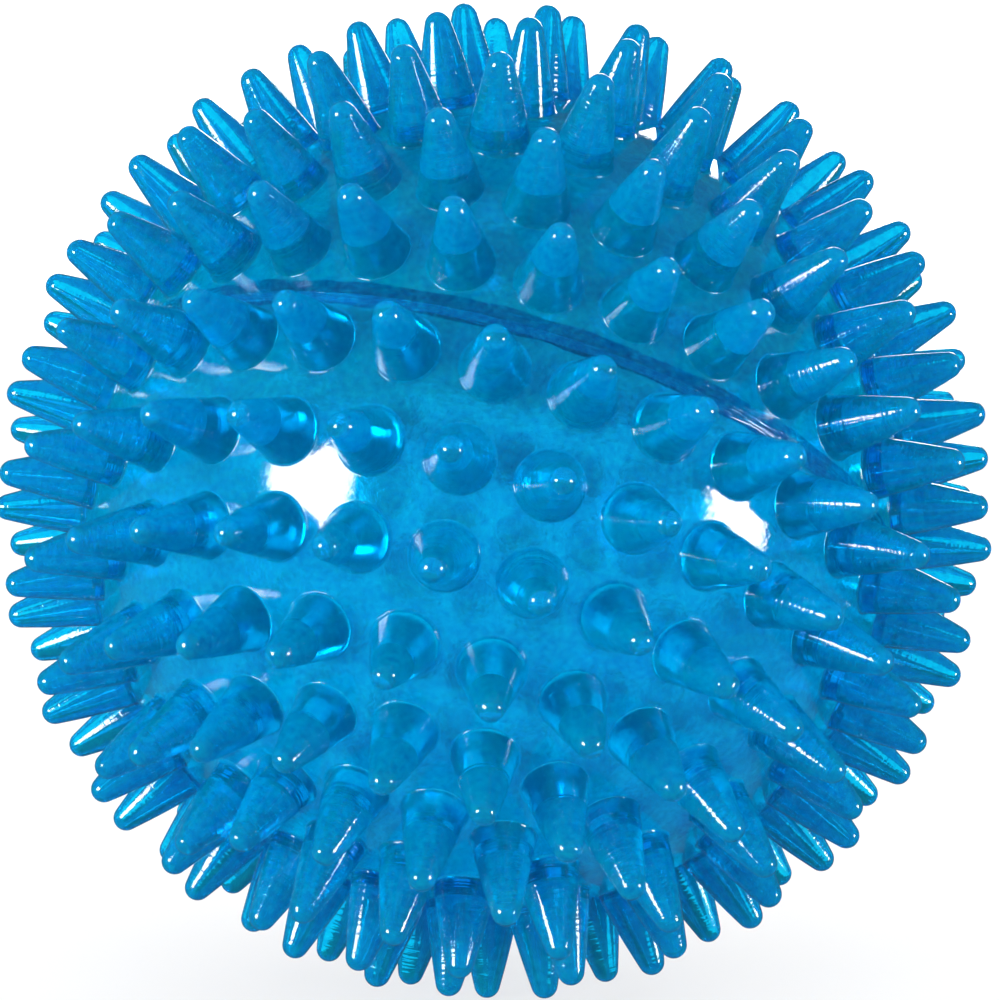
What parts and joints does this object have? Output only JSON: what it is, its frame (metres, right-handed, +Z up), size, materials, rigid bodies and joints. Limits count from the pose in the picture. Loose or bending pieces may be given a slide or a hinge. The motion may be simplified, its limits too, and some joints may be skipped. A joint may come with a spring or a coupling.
{
  "type": "massage ball",
  "caption": "Hollow soft ball covered in solid round-tipped spikes, moulded as two half shells welded round the middle, for rolling over the hands, feet and back.",
  "frame": {"origin": "centre of the ball", "axes": "+Z up as the ball lies on three neighbouring spikes, -Y the side that the higher part of the leaning weld faces, +X to the right seen from there"},
  "size_m": [0.0992, 0.0995, 0.0993],
  "materials": {
    "soft_blue": "glossy, clear blue",
    "weld_blue": "glossy, finely wrinkled, clear blue"
  },
  "bodies": {
    "root": {"upper_half": "soft_blue", "lower_half": "soft_blue", "seam_weld": "weld_blue"}
  },
  "joints": []
}
